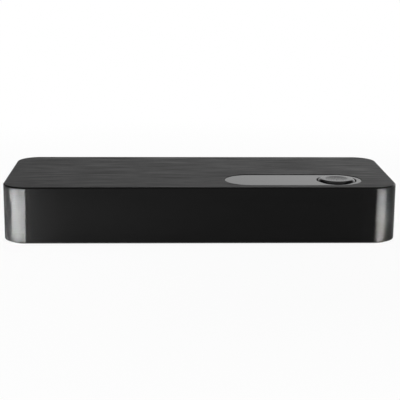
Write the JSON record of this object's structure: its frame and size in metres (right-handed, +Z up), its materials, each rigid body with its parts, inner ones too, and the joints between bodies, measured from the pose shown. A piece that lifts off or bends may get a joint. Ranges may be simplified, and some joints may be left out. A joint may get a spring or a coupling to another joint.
{
  "type": "hdmi switch box",
  "caption": "Low black box with round corners that switches a video line between its inputs: sunk round-ended window and dished push button on top, sockets in the back wall.",
  "frame": {"origin": "on the table, under the middle of the box (centre of its footprint, at the feet's underside)", "axes": "+X to the right as seen from the front, -Y towards the front, +Y towards the sockets, +Z up"},
  "size_m": [0.1, 0.04, 0.0157],
  "materials": {
    "housing_abs": "brushed lines on the roof, satin walls",
    "cover_abs": "fine spark texture",
    "foot_rubber": "matt",
    "smoked_acrylic": "polished",
    "tape": "matt",
    "button_abs": "polished",
    "clear_acrylic": "clear",
    "solder_mask": "glossy lacquer",
    "tinned_steel": "bright plated",
    "moulded_nylon": "matt",
    "gold_plate": "bright plated",
    "lamp_resin": "milky",
    "chip_epoxy": "matt",
    "tantalum_resin": "matt",
    "resistor_ceramic": "glazed film",
    "capacitor_ceramic": "matt",
    "black_steel": "black oxide",
    "zinc_steel": "zinc plated"
  },
  "bodies": {
    "case": {"housing": "housing_abs", "base_cover": "cover_abs", "foot_front_left": "foot_rubber", "foot_front_right": "foot_rubber", "foot_rear_left": "foot_rubber", "foot_rear_right": "foot_rubber", "window": "smoked_acrylic", "window_tape": "tape", "light_guide": "clear_acrylic", "circuit_board": "solder_mask", "switch_base": "moulded_nylon", "switch_cover": "tinned_steel", "switch_dome": "tinned_steel", "switch_terminals": "tinned_steel", "led_1": "lamp_resin", "led_2": "lamp_resin", "switching_chip": "chip_epoxy", "control_chip": "chip_epoxy", "regulator": "chip_epoxy", "bulk_capacitors": "tantalum_resin", "surge_arrays": "chip_epoxy", "steering_diodes": "chip_epoxy", "resistors": "resistor_ceramic", "small_capacitors": "capacitor_ceramic", "case_screws": "black_steel", "board_screws": "zinc_steel", "socket_1_shell": "tinned_steel", "socket_1_insulator": "moulded_nylon", "socket_1_contacts": "gold_plate", "socket_2_shell": "tinned_steel", "socket_2_insulator": "moulded_nylon", "socket_2_contacts": "gold_plate", "socket_common_shell": "tinned_steel", "socket_common_insulator": "moulded_nylon", "socket_common_contacts": "gold_plate"},
    "button": {"button_cap": "button_abs"},
    "plunger": {"switch_plunger": "moulded_nylon"}
  },
  "joints": [
    {"name": "button_press", "type": "slide", "parent": "case", "child": "button", "axis": [0, 0, -1], "range_m": [0, 0.0003], "stiffness_N_per_m": 6000},
    {"name": "plunger_press", "type": "slide", "parent": "case", "child": "plunger", "axis": [0, 0, -1], "range_m": [0, 0.0003], "deforming": ["switch_dome"]}
  ],
  "couplings": [
    {"joint": "plunger_press", "follows": "button_press", "ratio": 1}
  ]
}
